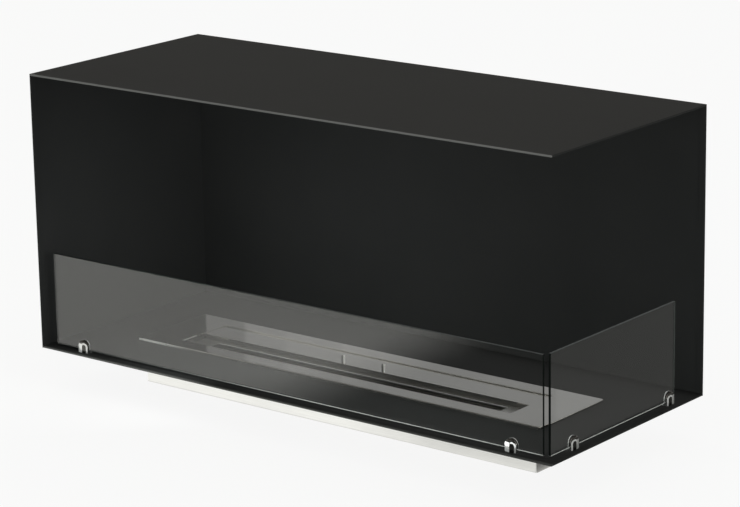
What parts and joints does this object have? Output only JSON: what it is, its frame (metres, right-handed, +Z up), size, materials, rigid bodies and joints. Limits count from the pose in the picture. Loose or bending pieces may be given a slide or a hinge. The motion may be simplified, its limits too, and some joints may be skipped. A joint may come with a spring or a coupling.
{
  "type": "bioethanol fireplace",
  "caption": "Built-in corner bioethanol fireplace: black sheet housing open at front and right, low glass guards in chrome clamps, long stainless burner with a sliding lid.",
  "frame": {"origin": "centre of the footprint, on the surface that the bottom of the burner box stands on", "axes": "+Z up; the long open front faces -Y, the open end faces +X, the closed end faces -X, the back wall faces +Y"},
  "size_m": [1, 0.4, 0.518],
  "materials": {
    "powder_coated_sheet": "satin",
    "satin_stainless": "brushed",
    "polished_chrome": "polished",
    "clear_glass": "clear",
    "silicone_liner": "matt",
    "ceramic_fibre": "fibrous",
    "zinc_plated_steel": "plated"
  },
  "bodies": {
    "fireplace": {"top_panel": "powder_coated_sheet", "floor_panel": "powder_coated_sheet", "left_side_panel": "powder_coated_sheet", "back_panel": "powder_coated_sheet", "burner_top_plate": "satin_stainless", "burner_outer_box": "satin_stainless", "tank_supports": "satin_stainless", "fuel_tank": "satin_stainless", "tank_cover": "satin_stainless", "retaining_mesh": "satin_stainless", "lid_rail_left": "satin_stainless", "lid_rail_right": "satin_stainless", "lid_deck": "satin_stainless", "lid_front_rest": "satin_stainless", "lid_stops": "satin_stainless", "clamp_front_left": "polished_chrome", "clamp_front_right": "polished_chrome", "clamp_side_front": "polished_chrome", "clamp_side_rear": "polished_chrome", "front_glass_pane": "clear_glass", "side_glass_pane": "clear_glass", "clamp_liners": "silicone_liner", "fibre_block": "ceramic_fibre", "hold_down_brackets": "zinc_plated_steel", "hold_down_screws": "zinc_plated_steel", "hold_down_nuts": "zinc_plated_steel", "clamp_base_screws": "zinc_plated_steel", "clamp_grub_screws": "zinc_plated_steel"},
    "lid": {"slide_lid": "satin_stainless", "lid_handle_posts": "satin_stainless"}
  },
  "joints": [
    {"name": "lid_slide", "type": "slide", "parent": "fireplace", "child": "lid", "axis": [0, -1, 0], "range_m": [0, 0.055]}
  ]
}
